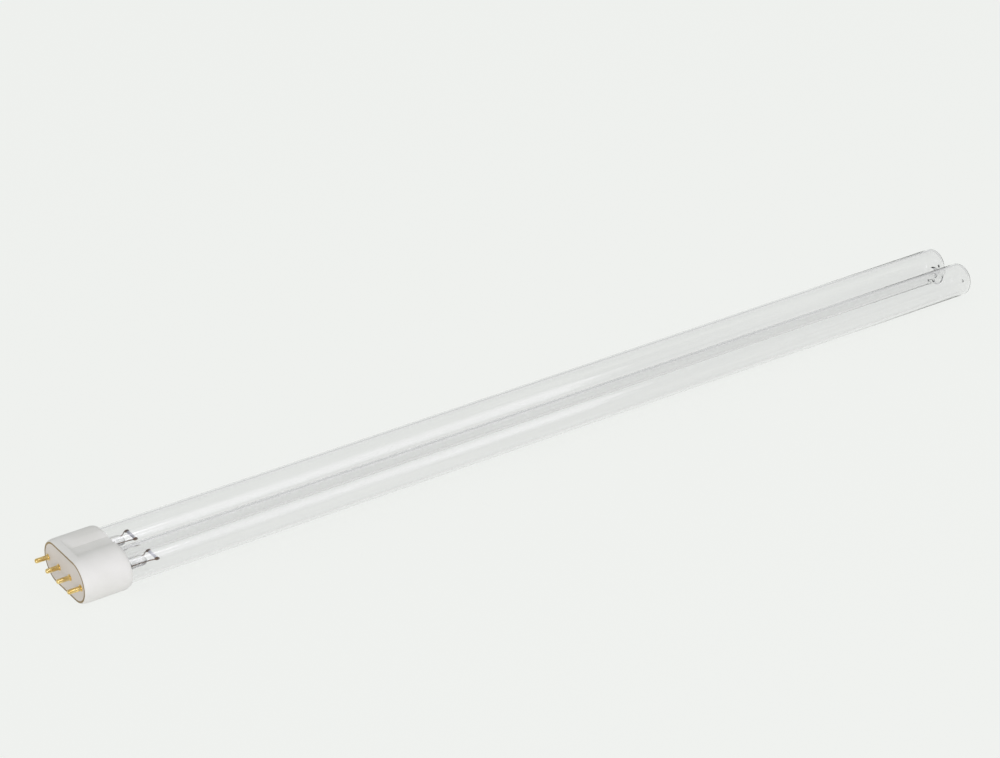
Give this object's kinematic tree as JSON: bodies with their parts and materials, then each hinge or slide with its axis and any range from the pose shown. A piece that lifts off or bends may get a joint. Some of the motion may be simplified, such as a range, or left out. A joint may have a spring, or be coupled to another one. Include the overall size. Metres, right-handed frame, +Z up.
{
  "type": "compact germicidal discharge lamp",
  "caption": "Clear twin-limb germicidal discharge lamp with a white moulded base, brass contact pins and electrode mounts seen through the glass",
  "frame": {"origin": "Centre of the base's front face, the plane of the end plate that the contact pins leave from, on the lamp's middle line", "axes": "X runs along the lamp from the base face to the far glass ends, Y from the front limb to the rear limb, Z up across the thin way; the pins point to -X"},
  "size_m": [0.5419, 0.0424, 0.0228],
  "materials": {
    "tube_glass": "clear soft fused glass, smooth and polished",
    "stem_glass": "clear pressed glass, fire polished",
    "base_plastic": "warm white moulded plastic, fine matt surface",
    "plate_plastic": "beige moulded plastic, matt",
    "brown_adhesive": "brown cured resin, slightly glossy",
    "pin_brass": "drawn brass, satin with brighter tips",
    "lead_wire_metal": "nickel wire browned by sealing heat",
    "coated_coil": "tungsten coil under a chalky oxide coating",
    "basing_cement": "baked basing cement, dull and porous",
    "amalgam": "dull silvery mercury amalgam"
  },
  "bodies": {
    "root": {"discharge_tube": "tube_glass", "base_housing": "base_plastic", "base_end_plate": "plate_plastic", "end_plate_adhesive": "brown_adhesive", "contact_pin_1": "pin_brass", "contact_pin_2": "pin_brass", "contact_pin_3": "pin_brass", "contact_pin_4": "pin_brass", "stem_rear": "stem_glass", "stem_front": "stem_glass", "lead_wire_1": "lead_wire_metal", "lead_wire_2": "lead_wire_metal", "lead_wire_3": "lead_wire_metal", "lead_wire_4": "lead_wire_metal", "filament_rear": "coated_coil", "filament_front": "coated_coil", "cement_rear": "basing_cement", "cement_front": "basing_cement", "amalgam_pellet": "amalgam"}
  },
  "joints": []
}
